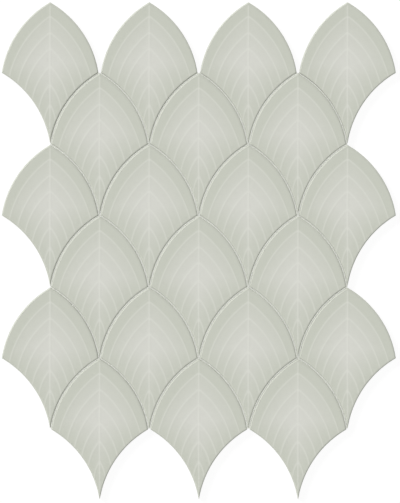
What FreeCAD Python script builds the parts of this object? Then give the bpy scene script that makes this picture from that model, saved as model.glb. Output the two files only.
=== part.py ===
"""Fish scale mosaic sheet: glazed leaf shaped tiles set in staggered rows on a backing net.

Units are mm, +Z is up and the glazed faces look up.  The origin is at the centre of the sheet, on the
surface it lies on.  +Y points to the arched tips of the scales and +X runs along a row.
"""
import os

import FreeCAD
import Part

# Driving sizes: alias, value and meaning
SIZES = (
    ("scale_pitch", 63.0, "distance between neighbouring scales of one row"),
    ("row_pitch", 45.33, "distance from one row to the next"),
    ("edge_radius", 63.3, "radius of the four curved edges of a scale, on the joint line"),
    ("joint", 0.9, "gap between the edges of neighbouring scales"),
    ("tail_blunt", 0.3, "length by which a tail stops short of a sharp point"),
    ("tile_thick", 7.0, "thickness of a tile"),
    ("bevel_width", 0.8, "width of the bevel round the glazed face"),
    ("bevel_drop", 0.5, "height of the bevel round the glazed face"),
    ("net_thick", 0.5, "thickness of the backing net"),
    ("net_margin", 0.2, "distance that the net stays back from the inner corners of the outline"),
    ("side_tab_reach", 20.0, "reach of the net behind an outer scale, from its axis"),
    ("side_tab_height", 24.0, "height of the net behind an outer scale"),
    ("side_tab_rise", 8.0, "height of the middle of that piece of net above the scale's shoulders"),
    ("tip_tab_width", 28.0, "width of the net behind the arch of a top scale"),
    ("tip_tab_drop", 15.0, "distance of the net's upper edge below the tip of a top scale"),
    ("tail_tab_width", 16.0, "width of the net behind the tail of a bottom scale"),
    ("tail_tab_rise", 27.0, "distance of the net's lower edge above the end of a bottom tail"),
)

# Sizes that follow from the driving ones.  Each edge is an arc between two points of one lattice: the
# shoulders, half a pitch either side of the axis, and the tip and the tail, one row above and below
DERIVED = (
    ("chord", "=sqrt((scale_pitch / 2) ^ 2 + row_pitch ^ 2)", "chord of one edge"),
    ("chord_back", "=sqrt(edge_radius ^ 2 - chord ^ 2 / 4)", "arc centre behind the chord"),
    ("arch_x", "=row_pitch / chord * chord_back - scale_pitch / 4", "arch centre across the axis"),
    ("arch_y", "=row_pitch / 2 - scale_pitch / 2 / chord * chord_back", "arch centre from the shoulders"),
    ("arch_radius", "=edge_radius - joint", "radius of the two arched upper edges"),
    ("notch_x", "=scale_pitch / 2 + arch_x", "centre of a hollow lower edge from the axis"),
    ("notch_y", "=arch_y - row_pitch", "centre of a hollow lower edge from the shoulders"),
    ("tip_y", "=arch_y + sqrt(arch_radius ^ 2 - arch_x ^ 2)", "tip above the shoulders"),
    ("tail_y", "=tail_blunt - row_pitch", "end of the tail from the shoulders"),
    ("top_row_y", "=(5 * row_pitch - tip_y - tail_y) / 2", "shoulders of the top row"),
    ("bottom_row_y", "=top_row_y - 5 * row_pitch", "shoulders of the bottom row"),
)

ROWS = 6
LONG_ROW = 4
SHORT_ROW = 3

doc = FreeCAD.newDocument("fish_scale_sheet")
sheet = doc.addObject("Spreadsheet::Sheet", "sizes")
for line, (alias, value, meaning) in enumerate(SIZES + DERIVED, start=1):
    sheet.set("A%d" % line, meaning)
    sheet.set("B%d" % line, str(value))
    sheet.setAlias("B%d" % line, alias)
doc.recompute()


def add(kind, name, **bindings):
    """Add one document object and bind its properties to the sheet of sizes."""
    made = doc.addObject(kind, name)
    for prop, text in bindings.items():
        made.setExpression(prop.replace("__", "."), text)
    return made


def place(made, x="0", y="0", z="0"):
    """Bind the place of an object to the sheet of sizes."""
    made.setExpression("Placement.Base.x", x)
    made.setExpression("Placement.Base.y", y)
    made.setExpression("Placement.Base.z", z)
    return made


def join(kind, name, shapes):
    """Join objects in one multiple boolean."""
    made = doc.addObject(kind, name)
    made.Shapes = shapes
    made.Refine = True
    return made


def box(name, x, y, z, length, width, height):
    """Add a box by its low corner and its sizes."""
    return place(add("Part::Box", name, Length=length, Width=width, Height=height), x, y, z)


def arch_disc(name, x):
    """Bevelled disc whose rim is one arched upper edge."""
    wall = add("Part::Cylinder", name + "_wall", Radius="sizes.arch_radius",
               Height="sizes.tile_thick - sizes.bevel_drop")
    bevel = add("Part::Cone", name + "_bevel", Radius1="sizes.arch_radius",
                Radius2="sizes.arch_radius - sizes.bevel_width", Height="sizes.bevel_drop")
    place(wall, x, "sizes.arch_y")
    place(bevel, x, "sizes.arch_y", "sizes.tile_thick - sizes.bevel_drop")
    return join("Part::MultiFuse", name, [wall, bevel])


def notch_disc(name, x):
    """Flared disc that cuts one hollow lower edge, with the same bevel on it."""
    wall = add("Part::Cylinder", name + "_wall", Radius="sizes.edge_radius",
               Height="2 * sizes.tile_thick - sizes.bevel_drop")
    flare = add("Part::Cone", name + "_flare", Radius1="sizes.edge_radius",
                Radius2="sizes.edge_radius + 2 * sizes.bevel_width", Height="2 * sizes.bevel_drop")
    place(wall, x, "sizes.notch_y", "-sizes.tile_thick")
    place(flare, x, "sizes.notch_y", "sizes.tile_thick - sizes.bevel_drop")
    return join("Part::MultiFuse", name, [wall, flare])


# One scale: two arched edges meet at the tip, and two notches leave the tail
blank = box("scale_blank", "-sizes.scale_pitch / 2", "sizes.tail_y", "0",
            "sizes.scale_pitch", "sizes.row_pitch - sizes.tail_y", "sizes.tile_thick")
arches = join("Part::MultiCommon", "scale_arches", [
    blank,
    arch_disc("arch_right", "-sizes.arch_x"),
    arch_disc("arch_left", "sizes.arch_x"),
])
notches = join("Part::MultiFuse", "scale_notches", [
    notch_disc("notch_right", "sizes.notch_x"),
    notch_disc("notch_left", "-sizes.notch_x"),
])
scale = doc.addObject("Part::Cut", "scale")
scale.Base = arches
scale.Tool = notches
scale.Refine = True

# The sheet: long and short rows take turns, each set half a pitch over
nodes = []
for row in range(ROWS):
    count = SHORT_ROW if row % 2 else LONG_ROW
    for column in range(count):
        name = "tile_row_%d_scale_%d" % (row + 1, column + 1)
        tile = doc.addObject("App::Link", name)
        tile.Label = name
        tile.LinkedObject = scale
        place(tile, "%s * sizes.scale_pitch" % (column - (count - 1) / 2),
              "sizes.top_row_y - %d * sizes.row_pitch" % row, "sizes.net_thick")
        nodes.append(tile)

# The net: a field behind all the joints, with tabs behind the scales that make the outline
half_field = "(1.5 * sizes.scale_pitch - sizes.net_margin)"
field_top = "(sizes.top_row_y - sizes.net_margin)"
field_bottom = "(sizes.bottom_row_y + sizes.net_margin)"
cuts = [box("net_field", "-" + half_field, field_bottom, "0", "2 * " + half_field,
            field_top + " - " + field_bottom, "sizes.net_thick")]
for row in range(0, ROWS, 2):
    low = ("sizes.top_row_y - %d * sizes.row_pitch + sizes.side_tab_rise - sizes.side_tab_height / 2"
           % row)
    for side, corner in (("left", "-1.5 * sizes.scale_pitch - sizes.side_tab_reach"),
                         ("right", "1.5 * sizes.scale_pitch - 2 * sizes.net_margin")):
        cuts.append(box("net_%s_tab_%d" % (side, row + 1), corner, low, "0",
                        "sizes.side_tab_reach + 2 * sizes.net_margin", "sizes.side_tab_height",
                        "sizes.net_thick"))
for column in range(LONG_ROW):
    cuts.append(box("net_tip_tab_%d" % (column + 1),
                    "%s * sizes.scale_pitch - sizes.tip_tab_width / 2" % (column - (LONG_ROW - 1) / 2),
                    field_top + " - sizes.net_margin", "0", "sizes.tip_tab_width",
                    "sizes.top_row_y + sizes.tip_y - sizes.tip_tab_drop - " + field_top
                    + " + sizes.net_margin", "sizes.net_thick"))
for column in range(SHORT_ROW):
    low = "(sizes.bottom_row_y + sizes.tail_y + sizes.tail_tab_rise)"
    cuts.append(box("net_tail_tab_%d" % (column + 1),
                    "%s * sizes.scale_pitch - sizes.tail_tab_width / 2" % (column - (SHORT_ROW - 1) / 2),
                    low, "0", "sizes.tail_tab_width",
                    field_bottom + " + sizes.net_margin - " + low, "sizes.net_thick"))
net = join("Part::MultiFuse", "backing_net", cuts)
net.Label = "backing_net"
nodes.append(net)

doc.recompute()
for made in doc.Objects:
    if "Invalid" in made.State or "Error" in made.State:
        raise RuntimeError("%s did not build" % made.Name)

os.makedirs("parts", exist_ok=True)
for node in nodes:
    shape = Part.getShape(node)
    if shape.isNull() or not shape.isValid() or len(shape.Solids) != 1:
        raise RuntimeError("%s is not one valid solid" % node.Label)
    shape.exportStep("parts/%s.step" % node.Label)
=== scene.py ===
"""Dresses a sheet of fish scale tiles: leaf-veined glazed scales, their net and a plain stage."""
import math

import bmesh
import bpy
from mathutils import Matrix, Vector


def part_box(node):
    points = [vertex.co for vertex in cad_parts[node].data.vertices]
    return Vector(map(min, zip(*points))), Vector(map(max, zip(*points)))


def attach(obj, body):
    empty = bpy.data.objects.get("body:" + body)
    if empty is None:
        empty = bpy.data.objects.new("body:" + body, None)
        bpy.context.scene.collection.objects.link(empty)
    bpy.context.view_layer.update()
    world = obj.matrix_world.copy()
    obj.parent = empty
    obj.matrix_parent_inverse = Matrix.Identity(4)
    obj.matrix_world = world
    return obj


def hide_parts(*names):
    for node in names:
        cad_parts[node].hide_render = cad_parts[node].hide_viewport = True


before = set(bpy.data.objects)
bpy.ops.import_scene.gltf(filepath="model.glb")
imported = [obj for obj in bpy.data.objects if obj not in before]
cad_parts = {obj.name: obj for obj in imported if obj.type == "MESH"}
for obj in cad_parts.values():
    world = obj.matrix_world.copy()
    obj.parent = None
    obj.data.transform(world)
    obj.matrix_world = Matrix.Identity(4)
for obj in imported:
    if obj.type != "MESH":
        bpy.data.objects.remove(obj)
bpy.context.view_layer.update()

bl_info = {
    "name": "Fish Scale Tile Sheet",
    "version": (1, 0, 0),
    "blender": (4, 5, 0),
    "location": "View3D > Sidebar > Tile Sheet",
    "description": "Models the glazed scales and backing net of a mosaic tile sheet",
    "category": "Object",
}

MM = 0.001
SCALES = sorted(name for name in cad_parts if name.startswith("tile_row_"))
NET = "backing_net"

FIRST_LOW, FIRST_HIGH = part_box("tile_row_1_scale_1")
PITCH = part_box("tile_row_1_scale_2")[0].x - FIRST_LOW.x
ROW = FIRST_LOW.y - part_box("tile_row_2_scale_1")[0].y


# Sizes and colours -----------------------------------------------------------

class ScaleShape(bpy.types.PropertyGroup):
    """Sizes of one scale."""

    pitch: bpy.props.FloatProperty(
        name="Scale Pitch", description="Distance between neighbouring scales of a row",
        default=PITCH, unit="LENGTH")
    row_pitch: bpy.props.FloatProperty(
        name="Row Pitch", description="Distance between neighbouring rows",
        default=ROW, unit="LENGTH")
    edge_radius: bpy.props.FloatProperty(
        name="Edge Radius", description="Radius of the four edges of a scale",
        default=63.3 * MM, unit="LENGTH")
    joint: bpy.props.FloatProperty(
        name="Joint", description="Open gap between neighbouring scales",
        default=0.9 * MM, unit="LENGTH")
    tail_blunt: bpy.props.FloatProperty(
        name="Tail Blunt", description="Length by which the tail stops short of its sharp point",
        default=0.3 * MM, unit="LENGTH")
    top: bpy.props.FloatProperty(
        name="Face Height", description="Height of the vein crests above the floor",
        default=FIRST_HIGH.z, unit="LENGTH")
    back: bpy.props.FloatProperty(
        name="Back Height", description="Height of the scale's back above the floor",
        default=FIRST_LOW.z, unit="LENGTH")
    round_width: bpy.props.FloatProperty(
        name="Rounding Width", description="Width of the rounded rim of the face",
        default=0.84 * MM, unit="LENGTH")
    round_drop: bpy.props.FloatProperty(
        name="Rounding Drop", description="Depth of the rounded rim of the face",
        default=0.5 * MM, unit="LENGTH")
    vein_rise: bpy.props.FloatProperty(
        name="Vein Rise", description="Height of the leaf veins above the face",
        default=0.05 * MM, unit="LENGTH")
    vein_share: bpy.props.FloatProperty(
        name="Vein Half Width", description="Half a vein's width, as a share of the scale's length",
        default=0.014, subtype="FACTOR")
    rib_width: bpy.props.FloatProperty(
        name="Midrib Half Width", description="Half the width of the leaf's midrib",
        default=0.8 * MM, unit="LENGTH")


class NetShape(bpy.types.PropertyGroup):
    """Sizes of the backing net."""

    mesh_pitch: bpy.props.FloatProperty(
        name="Mesh Pitch", description="Distance between neighbouring strands",
        default=1.0 * MM, unit="LENGTH")
    strand: bpy.props.FloatProperty(
        name="Strand Width", description="Width of one strand",
        default=0.8 * MM, unit="LENGTH")


class SheetLook(bpy.types.PropertyGroup):
    """Colours and gloss of the finishes."""

    margin: bpy.props.FloatVectorProperty(
        name="Glaze Margin", description="Glaze colour along the edges of a scale",
        default=(0.558, 0.577, 0.503), subtype="COLOR")
    heart: bpy.props.FloatVectorProperty(
        name="Glaze Heart", description="Paler glaze colour in the middle of a scale",
        default=(0.658, 0.662, 0.610), subtype="COLOR")
    line: bpy.props.FloatVectorProperty(
        name="Vein Tint", description="Pale colour that shows through the thin glaze on the veins",
        default=(0.730, 0.737, 0.679), subtype="COLOR")
    vein_tint: bpy.props.FloatProperty(
        name="Tint on Veins", description="How much of the vein tint the veins take",
        default=0.39, subtype="FACTOR")
    rib_tint: bpy.props.FloatProperty(
        name="Tint on Midrib", description="How much of the vein tint the midrib takes",
        default=0.43, subtype="FACTOR")
    glaze_rough: bpy.props.FloatProperty(
        name="Glaze Roughness", description="Roughness of the satin glaze",
        default=0.50, subtype="FACTOR")
    body: bpy.props.FloatVectorProperty(
        name="Fired Body", description="Bare ceramic of the sides and the back",
        default=(0.70, 0.65, 0.56), subtype="COLOR")
    body_rough: bpy.props.FloatProperty(
        name="Body Roughness", description="Roughness of the bare ceramic",
        default=0.88, subtype="FACTOR")
    yarn: bpy.props.FloatVectorProperty(
        name="Net Yarn", description="Tint of the glass yarn in resin",
        default=(0.880, 0.890, 0.842), subtype="COLOR")
    glue: bpy.props.FloatVectorProperty(
        name="Net Glue", description="Pale glue in the net behind the scales",
        default=(0.86, 0.85, 0.79), subtype="COLOR")
    glue_rough: bpy.props.FloatProperty(
        name="Glue Roughness", description="Roughness of the glue in the net",
        default=0.6, subtype="FACTOR")


class StageSetting(bpy.types.PropertyGroup):
    """Light, floor and camera."""

    sun: bpy.props.FloatProperty(
        name="Key Share", description="Part of the light that comes from the key lamp",
        default=0.58, subtype="FACTOR")
    sky: bpy.props.FloatProperty(
        name="Fill Share", description="Part of the light that comes from all round",
        default=0.42, subtype="FACTOR")
    sun_turn: bpy.props.FloatProperty(
        name="Key Direction", description="Compass direction of the key lamp, from +X",
        default=math.radians(141), subtype="ANGLE")
    sun_height: bpy.props.FloatProperty(
        name="Key Height", description="Height of the key lamp above the floor",
        default=math.radians(45), subtype="ANGLE")
    sun_spread: bpy.props.FloatProperty(
        name="Key Spread", description="Angle that the key lamp fills, which softens its shadows",
        default=math.radians(25), subtype="ANGLE")
    floor_glow: bpy.props.FloatProperty(
        name="Floor White", description="Share of plain white in the floor as the camera sees it",
        default=0.89, subtype="FACTOR")
    distance: bpy.props.FloatProperty(
        name="Camera Distance", description="Height of the camera above the glazed faces",
        default=5.0, unit="LENGTH")
    camera_place: bpy.props.FloatVectorProperty(
        name="Camera Place", description="Where the camera stands over the sheet, from its middle",
        size=2, default=(0.75 * MM, -0.34 * MM), unit="LENGTH")
    frame_height: bpy.props.FloatProperty(
        name="Frame Height", description="Height of the picture at the glazed faces",
        default=319.5 * MM, unit="LENGTH")


# Shader maths ----------------------------------------------------------------

class Wire:
    """A value in a node tree; arithmetic on such values adds Math nodes."""

    def __init__(self, socket):
        self.socket = socket

    @classmethod
    def node(cls, tree, kind, settings=None, inputs=None, output=0):
        """Adds a node with its settings, then the values or links of its sockets."""
        made = tree.nodes.new(kind)
        for name, value in (settings or {}).items():
            setattr(made, name, value)
        for key, value in (inputs or {}).items():
            if isinstance(value, cls):
                tree.links.new(value.socket, made.inputs[key])
            else:
                made.inputs[key].default_value = value
        return cls(made.outputs[output])

    @property
    def tree(self):
        return self.socket.id_data

    def math(self, operation, *others):
        """A Math node with this value first."""
        values = dict(enumerate((self,) + others))
        return Wire.node(self.tree, "ShaderNodeMath", {"operation": operation}, values)

    def flipped(self, operation, other):
        """A Math node with this value second."""
        values = {0: other, 1: self}
        return Wire.node(self.tree, "ShaderNodeMath", {"operation": operation}, values)

    def __add__(self, other):
        return self.math("ADD", other)

    def __radd__(self, other):
        return self.flipped("ADD", other)

    def __sub__(self, other):
        return self.math("SUBTRACT", other)

    def __rsub__(self, other):
        return self.flipped("SUBTRACT", other)

    def __mul__(self, other):
        return self.math("MULTIPLY", other)

    def __rmul__(self, other):
        return self.flipped("MULTIPLY", other)

    def __truediv__(self, other):
        return self.math("DIVIDE", other)

    def __rtruediv__(self, other):
        return self.flipped("DIVIDE", other)

    def __abs__(self):
        return self.math("ABSOLUTE")

    def ramp(self, low, high, kind="SMOOTHSTEP"):
        """0 at low and 1 at high, held outside them."""
        return Wire.node(self.tree, "ShaderNodeMapRange",
                         {"interpolation_type": kind, "clamp": True},
                         {"Value": self, "From Min": low, "From Max": high})

    def mix(self, first, second):
        """The first colour where this value is 0 and the second where it is 1."""
        return Wire.node(self.tree, "ShaderNodeMix", {"data_type": "RGBA"},
                         {0: self, 6: first, 7: second}, output=2)

    def axis(self, name):
        """One of the three numbers of this vector."""
        return Wire.node(self.tree, "ShaderNodeSeparateXYZ", None, {0: self}, name)

    def noise(self, scale, detail, roughness=0.5):
        """Noise at the place that this vector gives, from 0 to 1."""
        return Wire.node(self.tree, "ShaderNodeTexNoise", None,
                         {"Vector": self, "Scale": scale, "Detail": detail,
                          "Roughness": roughness}, "Fac")

    def feed(self, node, name):
        """Links this value to a socket of a node."""
        self.tree.links.new(self.socket, node.inputs[name])


def colour(value, share=1.0):
    """A socket's colour, as it is or darkened to a share of itself."""
    return (*(part * share for part in value), 1.0)


def start_material(name):
    """A new material made of nodes, and its tree."""
    material = bpy.data.materials.new(name)
    material.use_nodes = True
    return material, material.node_tree


# The two finishes ------------------------------------------------------------

# Places on the leaf are shares of the way from its tip to its tail; other measures are in mm
VEINS = (0.108, 0.224, 0.335, 0.461, 0.591, 0.736)
VEIN_SPREAD = 1.4             # growth of a vein's share of the leaf towards the tail
VEIN_START = (0.3, 1.2)       # the veins set in over these distances from the lower edge
RIB_START = (0.6, 2.0)        # the midrib sets in over these
RIB_TIP = (0.0, 0.02)         # and over these shares at the tip

HEART_STEP = 0.006            # half the soft step at the first vein, where the heart begins
HEART_SHARE = (0.005, 0.38)   # the heart grows paler over these shares
HEART_START = (3.0, 20.5)     # and over these distances from the lower edge
HEART_BLEND = 0.15            # softness with which the two meet
HEART_CLOUD = 0.08            # cloudiness of the heart

FLECK_TONE = 0.05             # strength of the fine flecks in the glaze
RIM_SHADE_DEPTH = (0.45, 0.08)      # painted shade: the glaze is darkened down the rounded rim, between these depths
RIM_SHADE_TONE = 0.015              # by this
EDGE_SHADE_SHARE = 0.018            # painted shade along the arched edges, next to the joints, within this share
EDGE_SHADE_DEPTH = (0.25, 0.10)     # and above these depths
EDGE_SHADE_TONE = 0.035             # and darkens the glaze there by this

GLAZE_END = (3.9, 4.5)        # heights on the sides over which the glaze ends
END_CLOUD, END_FLECK = 2.0, 0.8       # how far that line wanders
GLOSS_CLOUD, GLOSS_FLECK = 0.10, 0.06   # how much the gloss varies
SAND = (0.3, 0.7)             # pinhole noise from the darker to the paler sand of the body
SAND_DARK = 0.86              # share of the body's colour in the darker sand
GLAZE_WAVE = 0.3              # relief of the glaze
PINHOLE = 0.6                 # relief of the pinholes in the bare body
RELIEF_STRENGTH, RELIEF_DEPTH = 0.35, 0.1 * MM

RESIN_IOR = 1.45
YARN_TWIST = {"Scale": 900.0, "Distortion": 1.5, "Detail": 1.0}
YARN_DARK = 0.97              # share of the yarn's colour in its darker twists
YARN_ROUGH = (0.3, 0.2)       # roughness of the resin, and what its stains add
GLUE_DARK = 0.88              # share of the glue's colour in its darker places
GLUE_EDGE = (0.6 * MM, 1.0 * MM)      # distances from the joint's middle over which it turns pale
GLUE_WANDER = 0.6 * MM        # how far that edge wanders


def widening(vein):
    """Leaf lines close up towards the tail, so a vein takes a larger share of them there."""
    return 1.0 + VEIN_SPREAD * vein ** 2


def leaf_glaze(look, shape):
    """Satin sage glaze, paler in the heart of the leaf and on its veins, with painted shade down
    the rim and along the arched edges, over a bare body.
    """
    material, tree = start_material("sage_leaf_glaze")
    shader = tree.nodes["Principled BSDF"]

    leaf = Wire.node(tree, "ShaderNodeAttribute", {"attribute_name": "leaf"}, output="Vector")
    across, rim, share = (leaf.axis(name) for name in "XYZ")
    place = Wire.node(tree, "ShaderNodeTexCoord", output="Object")
    height = place.axis("Z") / MM
    depth = shape.top / MM - height
    cloud = place.noise(scale=28, detail=3)
    fleck = place.noise(scale=420, detail=4, roughness=0.6)
    pinhole = place.noise(scale=1500, detail=2)
    drift, dots = cloud - 0.5, fleck - 0.5

    near = abs(share - VEINS[0]) / widening(VEINS[0])
    for vein in VEINS[1:]:
        near = near.math("MINIMUM", abs(share - vein) / widening(vein))
    veins = near.ramp(shape.vein_share, 0.0) * rim.ramp(*VEIN_START)
    midrib = abs(across).ramp(shape.rib_width / MM, 0.0)
    midrib = midrib * rim.ramp(*RIB_START) * share.ramp(*RIB_TIP)

    begun = share.ramp(VEINS[0] - HEART_STEP, VEINS[0] + HEART_STEP)
    from_arch = share.ramp(*HEART_SHARE, "LINEAR") * begun
    from_notch = rim.ramp(*HEART_START, "LINEAR")
    heart = from_arch.math("SMOOTH_MIN", from_notch, HEART_BLEND) + drift * HEART_CLOUD
    glaze = heart.mix(colour(look.margin), colour(look.heart))
    for line, strength in ((veins, look.vein_tint), (midrib, look.rib_tint)):
        glaze = (line * strength).mix(glaze, colour(look.line))

    # painted shade: the glaze is darkened down the rounded rim
    level = depth.ramp(*RIM_SHADE_DEPTH)
    # painted shade: the glaze is darkened along the arched edges next to the joints
    edge_shade = share.ramp(EDGE_SHADE_SHARE, 0.0) * depth.ramp(*EDGE_SHADE_DEPTH)
    # the fine flecks are the glaze's own; the rim and edge terms darken it as painted shade
    speck_and_shade = dots * FLECK_TONE + (1.0 - RIM_SHADE_TONE) + level * RIM_SHADE_TONE - edge_shade * EDGE_SHADE_TONE
    tone = Wire.node(tree, "ShaderNodeCombineColor", None, {0: speck_and_shade, 1: speck_and_shade, 2: speck_and_shade})
    glaze = Wire.node(tree, "ShaderNodeMix", {"data_type": "RGBA", "blend_type": "MULTIPLY"},
                      {0: 1.0, 6: glaze, 7: tone}, 2)

    body = pinhole.ramp(*SAND).mix(colour(look.body, SAND_DARK), colour(look.body))
    glazed = (height + drift * END_CLOUD + dots * END_FLECK).ramp(*GLAZE_END)
    glazed.mix(body, glaze).feed(shader, "Base Color")

    gloss = look.glaze_rough + drift * GLOSS_CLOUD + dots * GLOSS_FLECK
    roughness = look.body_rough + (gloss - look.body_rough) * glazed
    roughness.feed(shader, "Roughness")

    relief = cloud * GLAZE_WAVE * glazed + (1 - glazed) * (pinhole * PINHOLE + fleck)
    bump = Wire.node(tree, "ShaderNodeBump", None, {
        "Strength": RELIEF_STRENGTH, "Distance": RELIEF_DEPTH, "Height": relief})
    bump.feed(shader, "Normal")
    return material


def net_yarn(look, shape):
    """Flat glass yarn: clear resin in the joints, and pale with glue behind the scales."""
    material, tree = start_material("resin_glass_yarn")
    clear = tree.nodes["Principled BSDF"]
    clear.inputs["Transmission Weight"].default_value = 1.0
    clear.inputs["IOR"].default_value = RESIN_IOR
    place = Wire.node(tree, "ShaderNodeTexCoord", output="Object")
    twist = Wire.node(tree, "ShaderNodeTexWave", {"bands_direction": "DIAGONAL"},
                      {"Vector": place, **YARN_TWIST}, "Fac")
    stain = place.noise(scale=60, detail=3)
    shade = twist * 0.5 + stain * 0.5
    shade.mix(colour(look.yarn, YARN_DARK), colour(look.yarn)).feed(clear, "Base Color")
    plain, stained = YARN_ROUGH
    (plain + stain * stained).feed(clear, "Roughness")

    # all the joints folded onto the arched edge of one scale, and the distance from it
    plan = LeafPlan(shape)
    up = place.axis("Y") - (FIRST_LOW.y + shape.row_pitch - shape.tail_blunt)
    row = (up / shape.row_pitch).math("FLOOR")
    over = place.axis("X") - (FIRST_LOW.x + FIRST_HIGH.x) / 2 + row * plan.half
    over = over.math("PINGPONG", plan.half) - plan.arch.x
    up = up - row * shape.row_pitch - plan.arch.y
    off = abs((over * over + up * up).math("SQRT") - (shape.edge_radius - shape.joint / 2))
    glued = (off + (stain - 0.5) * GLUE_WANDER).ramp(*GLUE_EDGE)

    pale = shade.mix(colour(look.glue, GLUE_DARK), colour(look.glue))
    paste = Wire.node(tree, "ShaderNodeBsdfPrincipled", None,
                      {"Base Color": pale, "Roughness": look.glue_rough})
    mixed = Wire.node(tree, "ShaderNodeMixShader", None,
                      {0: glued, 1: Wire(clear.outputs[0]), 2: paste})
    mixed.feed(tree.nodes["Material Output"], "Surface")
    return material


# Modelling by hand -----------------------------------------------------------

ON_LINE = 0.001 * MM          # a point this near to a line lies on it
SAME = 0.002 * MM             # points this near to each other are one
SEAM = 0.005 * MM             # halves this near to each other grow together

LINE_STEPS = 26               # edges along half a leaf line
LINE_GAP = 0.02               # share between plain leaf lines
LEAST_LINES = 3               # plain leaf lines between two veins, at least
LAST_LINE = 0.985             # the last of them, above the tail
VEIN_SLOPE = 0.7              # slope with which a vein leaves the midrib
VEIN_BOW = 0.094              # rise of a vein's arc over its chord at the tip
BOW_LOSS = 0.05               # and how much of it is lost towards the tail
TAIL_BOW = 0.01               # and what is left at the tail
TAIL_STUB = 0.01 * MM         # size of the line at the tail, before it is drawn to a point
STUB_BOW = 0.1                # rise of that line's arc over its chord
SEED = 0.1 * MM               # size of the patch that is merged to the first point of a line

RIB_TAPER = 0.3               # share over which the midrib runs out at the tail
RIB_STEP = (0.5, 0.6)         # shares of the midrib's width and rise at the step in its side
RIB_SPAN = (0.01, 0.98)       # shares between which the midrib stands up
RIB_SIDE = 0.9                # share of the midrib's width that lies within its sides

RIM_STEPS = 6                 # edges down the rounded rim
RIM_FALL = 0.95               # share of the rim that falls; the rest stays level with the face
RIM_SLOPE = 0.25              # slope with which the rim starts to fall
BACK_BEVEL = (0.3 * MM, 0.4 * MM)     # width and height of the bevel at the back
CREASE = math.radians(38)     # edges sharper than this stay sharp


def put_down():
    """Leaves edit mode with nothing selected."""
    if bpy.context.object and bpy.context.object.mode != "OBJECT":
        bpy.ops.object.mode_set(mode="OBJECT")
    bpy.ops.object.select_all(action="DESELECT")


def hold(piece):
    """Selects one piece alone, in object mode."""
    put_down()
    bpy.context.view_layer.objects.active = piece
    piece.select_set(True)


def take_up(piece):
    """Opens one piece in edit mode with nothing selected in it."""
    hold(piece)
    bpy.ops.object.mode_set(mode="EDIT")
    bpy.ops.mesh.select_all(action="DESELECT")


def pick(piece, kind, test):
    """Selects the verts or edges that pass a test, which may also ask for a vertex's share."""
    bpy.ops.mesh.select_mode(type={"verts": "VERT", "edges": "EDGE"}[kind])
    bpy.ops.mesh.select_all(action="DESELECT")
    mesh = bmesh.from_edit_mesh(piece.data)
    mesh.verts.index_update()
    layer = mesh.verts.layers.float.get("share")

    def share(vert):
        return vert[layer]

    for part in getattr(mesh, kind):
        part.select_set(bool(test(part, share)))
    mesh.select_flush_mode()
    bmesh.update_edit_mesh(piece.data)


def level_at(height):
    """Brings what is selected to one height."""
    bpy.ops.transform.resize(value=(1, 1, 0), center_override=(0, 0, height))


class LeafPlan:
    """Outline and veins of a scale's right half, about its axis and the line of its shoulders."""

    def __init__(self, shape):
        self.shape = shape
        half, row, radius = shape.pitch / 2, shape.row_pitch, shape.edge_radius
        chord = math.hypot(half, row)
        back = math.sqrt(radius ** 2 - chord ** 2 / 4)
        self.arch = Vector((half / 2 - row / chord * back, row / 2 - half / chord * back))
        self.notch = Vector((half - self.arch.x, self.arch.y - row))
        self.half, self.row = half, row

    def arch_radius(self, inset):
        return self.shape.edge_radius - self.shape.joint - inset

    def notch_radius(self, inset):
        return self.shape.edge_radius + inset

    def arch_height(self, x, inset):
        return self.arch.y + math.sqrt(self.arch_radius(inset) ** 2 - (x - self.arch.x) ** 2)

    def tip(self, inset):
        return Vector((0.0, self.arch_height(0.0, inset)))

    def tail(self, inset):
        drop = self.notch.y + math.sqrt(self.notch_radius(inset) ** 2 - self.notch.x ** 2)
        return Vector((0.0, max(drop, self.shape.tail_blunt - self.row)))

    def shoulder(self, inset):
        """Where the arched upper edge meets the hollow lower edge."""
        near, far = self.arch_radius(inset), self.notch_radius(inset)
        line = self.notch - self.arch
        gap = line.length
        along = (near ** 2 - far ** 2 + gap ** 2) / (2 * gap)
        aside = math.sqrt(near ** 2 - along ** 2)
        line.normalize()
        return self.arch + line * along + Vector((-line.y, line.x)) * aside

    def bearing(self, point):
        """Direction of a point from the centre of the hollow edge."""
        return math.atan2(point.y - self.notch.y, point.x - self.notch.x) % math.tau

    def between(self, share, first, veins, last):
        """A value that follows the veins from the tip to the tail."""
        knots = list(zip((0.0,) + VEINS + (1.0,), [first] + veins + [last]))
        for (low, start), (high, end) in zip(knots, knots[1:]):
            if share <= high:
                return start + (end - start) * (share - low) / (high - low)
        return last

    def rib(self, share):
        """Half width of the midrib, which runs out at the tail."""
        return self.shape.rib_width * min(1.0, (1.0 - share) / RIB_TAPER)

    def line(self, share):
        """Start, end and rise over its chord of one leaf line."""
        inset = self.shape.round_width
        corner, tail = self.shoulder(inset), self.tail(inset)
        left = self.bearing(Vector((self.half, 0.0)))
        right = self.bearing(Vector((0.0, -self.row)))
        x = self.rib(share)
        heights = [self.row * (1 - 2 * v) - VEIN_SLOPE * self.rib(v) for v in VEINS]
        height = self.between(share, self.arch_height(x, inset), heights, tail.y)
        turns = [left + (right - left) * v for v in VEINS]
        turn = self.between(share, self.bearing(corner), turns, self.bearing(tail))
        start = Vector((x, height))
        stop = self.notch + self.notch_radius(inset) * Vector((math.cos(turn), math.sin(turn)))

        foot = self.rib(0.0)
        chord = corner - Vector((foot, self.arch_height(foot, inset)))
        radius = self.arch_radius(inset)
        edge = (radius - math.sqrt(radius ** 2 - chord.length_squared / 4)) / chord.length
        rise = self.between(share, edge, [VEIN_BOW - BOW_LOSS * v for v in VEINS], TAIL_BOW)
        return start, stop, rise


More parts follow.
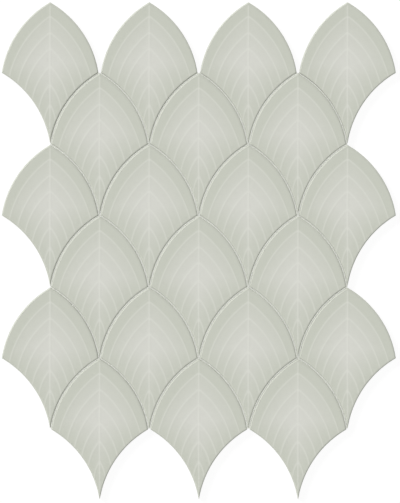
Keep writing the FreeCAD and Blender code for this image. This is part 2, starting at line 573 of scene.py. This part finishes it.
def leaf_shares(width):
    """Where the lines of the leaf run: five to a vein, and plain ones between the veins."""
    shares, last = [0.0], 0.0
    for vein in VEINS + (1.0,):
        half = width * widening(vein)
        foot = vein - half if vein < 1.0 else LAST_LINE
        plain = max(LEAST_LINES, round((foot - last) / LINE_GAP))
        shares += [last + (foot - last) * k / plain for k in range(1, plain + 1)]
        if vein < 1.0:
            shares += [vein - half / 2, vein, vein + half / 2, vein + half]
        last = shares[-1]
    return shares


def sweep(piece, start, stop, rise, height, share):
    """Spins one point from start to stop into a row of edges, and marks it with its share."""
    chord = stop - start
    sagitta = rise * chord.length
    radius = (chord.length_squared / 4 + sagitta ** 2) / (2 * sagitta)
    out = Vector((-chord.y, chord.x)).normalized()
    centre = (start + stop) / 2 - out * (radius - sagitta)
    turn = 2 * math.asin(chord.length / (2 * radius))
    before = len(bmesh.from_edit_mesh(piece.data).verts)
    bpy.ops.mesh.primitive_plane_add(size=SEED, location=(start.x, start.y, height))
    bpy.ops.mesh.merge(type="CENTER")
    bpy.ops.mesh.spin(
        steps=LINE_STEPS, angle=turn, center=(centre.x, centre.y, height), axis=(0, 0, 1))
    mesh = bmesh.from_edit_mesh(piece.data)
    mesh.verts.ensure_lookup_table()
    layer = mesh.verts.layers.float["share"]
    for vert in mesh.verts[before:]:
        vert[layer] = share


def skin_leaf(piece, plan, face):
    """Draws the lines of the leaf from the arched edge to the tail and skins them into one face."""
    shape = plan.shape
    for share in leaf_shares(shape.vein_share):
        near = min(abs(share - vein) / widening(vein) for vein in VEINS) / shape.vein_share
        crest = shape.vein_rise * max(0.0, 1.0 - near)
        sweep(piece, *plan.line(share), face + crest, share)
    tail = plan.tail(shape.round_width)
    sweep(piece, tail + Vector((0.0, 2 * TAIL_STUB)), tail + Vector((TAIL_STUB, 0.0)),
          STUB_BOW, face, 1.0)
    bpy.ops.mesh.select_mode(type="EDGE")
    bpy.ops.mesh.select_all(action="SELECT")
    bpy.ops.mesh.bridge_edge_loops()
    pick(piece, "verts", lambda v, share: share(v) == 1.0)
    bpy.ops.transform.resize(value=(0, 0, 1), center_override=(tail.x, tail.y, 0))
    bpy.ops.mesh.merge(type="CENTER")


def raise_midrib(piece, plan, face):
    """Draws the midrib in to the axis in two steps and lets it down at the tip and the tail."""
    shape, foot = plan.shape, plan.rib(0.0)
    pick(piece, "edges", lambda e, share: e.is_boundary and all(
        abs(v.co.x - plan.rib(share(v))) < ON_LINE for v in e.verts))
    narrow, rise = RIB_STEP
    for width, height in ((narrow, face + rise * shape.vein_rise), (0.0, shape.top)):
        bpy.ops.mesh.extrude_edges_move()
        bpy.ops.transform.resize(value=(width, 1, 1), center_override=(0, 0, 0))
        level_at(height)
    first, last = RIB_SPAN
    pick(piece, "verts", lambda v, share: (
        not first < share(v) < last and v.co.x < RIB_SIDE * foot))
    level_at(face)
    for x in (narrow * foot, 0.0):
        pick(piece, "verts", lambda v, share: share(v) == 0.0 and abs(v.co.x - x) < ON_LINE)
        lift = plan.arch_height(x, shape.round_width) - plan.arch_height(foot, shape.round_width)
        bpy.ops.transform.translate(value=(0, lift, 0))
    bpy.ops.mesh.select_all(action="SELECT")
    bpy.ops.mesh.remove_doubles(threshold=SAME)


def on_rim(edge):
    """True for the open edges of the half scale that don't lie on its axis."""
    return edge.is_boundary and max(v.co.x for v in edge.verts) > ON_LINE


def move_rim(piece, plan, now, wanted):
    """Moves the half outline from one inset to the next, edge by edge and corner by corner."""
    corners = [(corner(now), corner(wanted)) for corner in (plan.tip, plan.shoulder, plan.tail)]
    edges = ((plan.arch, plan.arch_radius(now), plan.arch_radius(wanted)),
             (plan.notch, plan.notch_radius(now), plan.notch_radius(wanted)))

    mesh = bmesh.from_edit_mesh(piece.data)
    mesh.verts.index_update()
    rim = {v.index: v.co.xy.copy() for e in mesh.edges if on_rim(e) for v in e.verts}
    ends = [{k for k, flat in rim.items() if (flat - start).length < SAME}
            for start, end in corners]
    plain = set(rim) - set().union(*ends)
    for centre, old, new in edges:
        group = {k for k in plain if abs((rim[k] - centre).length - old) < SAME}
        pick(piece, "verts", lambda v, share: v.index in group)
        bpy.ops.transform.resize(
            value=(new / old, new / old, 1), center_override=(centre.x, centre.y, 0))
    for group, (start, end) in zip(ends, corners):
        pick(piece, "verts", lambda v, share: v.index in group)
        bpy.ops.transform.translate(value=(end.x - start.x, end.y - start.y, 0))


def round_rim(piece, plan, face):
    """Rounds the rim, where the veins run out, and adds the wall and a small bevel at the back."""
    shape = plan.shape
    pick(piece, "edges", lambda e, share: on_rim(e))
    level_at(face)
    levels = []
    for step in range(RIM_STEPS + 1):
        s = step / RIM_STEPS
        fall = RIM_SLOPE * s + (1 - RIM_SLOPE) * s ** 2
        levels.append((RIM_FALL * shape.round_width * (1 - s), face - shape.round_drop * fall))
    width, height = BACK_BEVEL
    levels += [(0.0, shape.back + height), (width, shape.back)]
    inset = shape.round_width
    for wanted, height in levels:
        pick(piece, "edges", lambda e, share: on_rim(e))
        bpy.ops.mesh.extrude_edges_move()
        level_at(height)
        move_rim(piece, plan, inset, wanted)
        inset = wanted


def note_leaf(piece, plan):
    """Stores each point's distance from the midrib and the lower edge, in mm, and its share."""
    mesh = piece.data
    shares = [item.value for item in mesh.attributes["share"].data]
    leaf = mesh.attributes.new("leaf", "FLOAT_VECTOR", "POINT")
    for vert, share, item in zip(mesh.vertices, shares, leaf.data):
        flat = Vector((abs(vert.co.x), vert.co.y))
        rim = (flat - plan.notch).length - plan.shape.edge_radius
        item.vector = (vert.co.x / MM, rim / MM, share)
    mesh.attributes.remove(mesh.attributes["share"])


def model_scale(shape):
    """Models one scale about the origin, half of it by hand and the rest mirrored."""
    plan = LeafPlan(shape)
    face = shape.top - shape.vein_rise
    put_down()
    bpy.ops.mesh.primitive_plane_add(size=MM)
    piece = bpy.context.object
    piece.name = "scale_master"
    bpy.ops.object.mode_set(mode="EDIT")
    bpy.ops.mesh.delete(type="VERT")
    bmesh.from_edit_mesh(piece.data).verts.layers.float.new("share")
    skin_leaf(piece, plan, face)
    raise_midrib(piece, plan, face)
    round_rim(piece, plan, face)

    hold(piece)
    bpy.ops.object.modifier_add(type="MIRROR")
    mirror = piece.modifiers[-1]
    mirror.merge_threshold = SEAM
    bpy.ops.object.modifier_apply(modifier=mirror.name)
    take_up(piece)
    pick(piece, "edges", lambda e, share: e.is_boundary)
    bpy.ops.mesh.edge_face_add()
    bpy.ops.mesh.select_all(action="SELECT")
    bpy.ops.mesh.remove_doubles(threshold=SAME)
    bpy.ops.mesh.normals_make_consistent(inside=False)
    put_down()
    note_leaf(piece, plan)
    piece.select_set(True)
    bpy.ops.object.shade_smooth_by_angle(angle=CREASE)
    return piece


# Operators -------------------------------------------------------------------

LAYER = 0.48                  # share of the net's thickness in each of its two layers of strands
STRAND_BEVEL = 0.2            # share of a strand's width and thickness that its bevel takes
UNIT_LENGTH = 1.0             # the strand that all others are copied from, in metres
UNIT_MIDDLE = 0.2             # its points are further than this from the floor, laid ones nearer
FACING = 0.9                  # a wall faces along an axis if its normal goes this far along it
DIGITS = 6                    # places are told apart to the micrometre

FLOOR_SIZE = 16.0             # side of the floor in metres
FLOOR_DROP = 0.1 * MM         # the floor lies this far below the sheet
PAPER = (0.9, 0.9, 0.9)       # the floor under the light
WHITE = (1.0, 1.0, 1.0)
FLOOR_STRENGTH = 1.05         # the floor as the camera sees it, just past white
LAMP_DISTANCE = 2.0           # place of the key lamp, which shines from far away in any case
SENSOR = 36.0                 # width of the camera's sensor in mm
FAR_CLIP = 50.0               # the camera sees no further, in metres


class TILESHEET_OT_scales(bpy.types.Operator):
    """Model one glazed scale and lay a copy in every place of the sheet"""

    bl_idname = "tile_sheet.scales"
    bl_label = "Lay Scales"
    bl_options = {"REGISTER", "UNDO"}

    def execute(self, context):
        shape = context.scene.scale_shape
        master = model_scale(shape)
        master.data.materials.append(leaf_glaze(context.scene.sheet_look, shape))
        for name in SCALES:
            low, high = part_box(name)
            hold(master)
            if name != SCALES[-1]:
                bpy.ops.object.duplicate(linked=False)
            piece = context.object
            bpy.ops.transform.translate(
                value=((low.x + high.x) / 2, low.y + shape.row_pitch - shape.tail_blunt, 0.0))
            bpy.ops.object.transform_apply(location=True, rotation=False, scale=False)
            piece.name = piece.data.name = name.replace("tile_", "glazed_")
            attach(piece, "root")
            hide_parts(name)
        return {"FINISHED"}


class TILESHEET_OT_net(bpy.types.Operator):
    """Model the open net that holds the scales together"""

    bl_idname = "tile_sheet.net"
    bl_label = "Make Net"
    bl_options = {"REGISTER", "UNDO"}

    def execute(self, context):
        shape = context.scene.net_shape
        low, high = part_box(NET)
        thick = (high.z - low.z) * LAYER
        put_down()
        bpy.ops.mesh.primitive_cube_add(size=UNIT_LENGTH)
        piece = context.object
        piece.name = piece.data.name = "net_strands"
        take_up(piece)
        pick(piece, "edges", lambda e, share: (
            abs(e.verts[0].co.x - e.verts[1].co.x) > UNIT_LENGTH / 2))
        bpy.ops.mesh.bevel(offset=STRAND_BEVEL, segments=1)
        for axis, height in ((1, low.z + thick / 2), (0, high.z - thick / 2)):
            room = high[axis] - low[axis] - shape.strand
            count = round(room / shape.mesh_pitch)
            for k in range(count + 1):
                place = low[axis] + shape.strand / 2 + k * (room / count)
                for start, end in self.runs(axis, place):
                    self.lay(piece, axis, place, start, end, height, thick, shape.strand)
        self.pick_unit(piece)
        bpy.ops.mesh.delete(type="VERT")
        put_down()
        piece.data.materials.append(net_yarn(context.scene.sheet_look, context.scene.scale_shape))
        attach(piece, "root")
        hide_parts(NET)
        return {"FINISHED"}

    def runs(self, axis, place):
        """Where a strand at a place on one axis enters and leaves the net's outline."""
        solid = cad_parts[NET].data
        ends = set()
        for face in solid.polygons:
            if abs(face.normal[1 - axis]) > FACING:
                wall = [solid.vertices[k].co for k in face.vertices]
                if min(p[axis] for p in wall) <= place <= max(p[axis] for p in wall):
                    ends.add(round(wall[0][1 - axis], DIGITS))
        ends = sorted(ends)
        return list(zip(ends[::2], ends[1::2]))

    def pick_unit(self, piece):
        """Selects the strand that the others are copied from."""
        pick(piece, "verts", lambda v, share: abs(v.co.z) > UNIT_MIDDLE)

    def lay(self, piece, axis, place, start, end, height, thick, width):
        """Copies the unit strand, turns it along its run and lays it down."""
        self.pick_unit(piece)
        bpy.ops.mesh.duplicate()
        bpy.ops.transform.resize(value=(end - start, width, thick), center_override=(0, 0, 0))
        if axis == 0:
            bpy.ops.transform.rotate(
                value=math.pi / 2, orient_axis="Z", center_override=(0, 0, 0))
        middle = [place, place, height]
        middle[1 - axis] = (start + end) / 2
        bpy.ops.transform.translate(value=middle)


class TILESHEET_OT_stage(bpy.types.Operator):
    """Set the pale floor, the soft light and the camera straight above the sheet"""

    bl_idname = "tile_sheet.stage"
    bl_label = "Set Stage"
    bl_options = {"REGISTER", "UNDO"}

    def execute(self, context):
        setting = context.scene.stage_setting
        scene = context.scene
        put_down()
        bpy.ops.mesh.primitive_plane_add(size=FLOOR_SIZE, location=(0, 0, -FLOOR_DROP))
        floor = context.object
        floor.name = "stage_floor"
        bpy.ops.object.transform_apply(location=True)
        floor.data.materials.append(self.floor_white(setting))

        away = Vector((math.cos(setting.sun_height) * math.cos(setting.sun_turn),
                       math.cos(setting.sun_height) * math.sin(setting.sun_turn),
                       math.sin(setting.sun_height)))
        bpy.ops.object.light_add(type="SUN", location=away * LAMP_DISTANCE)
        lamp = context.object
        lamp.name = "key_lamp"
        lamp.rotation_mode = "QUATERNION"
        lamp.rotation_quaternion = away.to_track_quat("Z", "Y")
        lamp.data.energy = math.pi * setting.sun / math.sin(setting.sun_height)
        lamp.data.angle = setting.sun_spread

        world = bpy.data.worlds.new("studio_fill")
        world.use_nodes = True
        scene.world = world
        fill = world.node_tree.nodes["Background"]
        fill.inputs["Color"].default_value = colour(WHITE)
        fill.inputs["Strength"].default_value = setting.sky

        height = scene.scale_shape.top + setting.distance
        bpy.ops.object.camera_add(location=(*setting.camera_place, height), rotation=(0, 0, 0))
        camera = context.object
        camera.name = "overhead_camera"
        camera.data.sensor_width = SENSOR
        camera.data.lens = SENSOR * setting.distance / setting.frame_height
        camera.data.clip_end = FAR_CLIP
        scene.camera = camera
        scene.view_settings.view_transform = "Standard"
        put_down()
        return {"FINISHED"}

    def floor_white(self, setting):
        """White to the camera and to reflections, and a plain pale floor to the light."""
        material, tree = start_material("white_floor")
        tree.nodes.remove(tree.nodes["Principled BSDF"])
        camera, glossy, through = (
            Wire.node(tree, "ShaderNodeLightPath", output=ray)
            for ray in ("Is Camera Ray", "Is Glossy Ray", "Is Transmission Ray"))
        seen = (camera + glossy + through).math("MINIMUM", 1.0) * setting.floor_glow
        paper = Wire.node(tree, "ShaderNodeBsdfDiffuse", None, {"Color": colour(PAPER)})
        white = Wire.node(tree, "ShaderNodeEmission", None,
                          {"Color": colour(WHITE), "Strength": FLOOR_STRENGTH})
        mixed = Wire.node(tree, "ShaderNodeMixShader", None, {0: seen, 1: paper, 2: white})
        mixed.feed(tree.nodes["Material Output"], "Surface")
        return material


class TILESHEET_PT_sidebar(bpy.types.Panel):
    """Sizes, colours and buttons of the tile sheet"""

    bl_label = "Tile Sheet"
    bl_idname = "TILESHEET_PT_sidebar"
    bl_space_type = "VIEW_3D"
    bl_region_type = "UI"
    bl_category = "Tile Sheet"

    def draw(self, context):
        for group in GROUPS:
            column = self.layout.column()
            settings = getattr(context.scene, group)
            for name in settings.__annotations__:
                column.prop(settings, name)
        for operator in OPERATORS:
            self.layout.operator(operator.bl_idname)


GROUPS = {
    "scale_shape": ScaleShape,
    "net_shape": NetShape,
    "sheet_look": SheetLook,
    "stage_setting": StageSetting,
}
OPERATORS = (TILESHEET_OT_stage, TILESHEET_OT_scales, TILESHEET_OT_net)
CLASSES = (*GROUPS.values(), *OPERATORS, TILESHEET_PT_sidebar)


def register():
    for item in CLASSES:
        bpy.utils.register_class(item)
    for name, group in GROUPS.items():
        setattr(bpy.types.Scene, name, bpy.props.PointerProperty(type=group))


def unregister():
    for name in GROUPS:
        delattr(bpy.types.Scene, name)
    for item in reversed(CLASSES):
        bpy.utils.unregister_class(item)


def main():
    register()
    bpy.ops.tile_sheet.stage()
    bpy.ops.tile_sheet.scales()
    bpy.ops.tile_sheet.net()


if __name__ == "__main__":
    main()
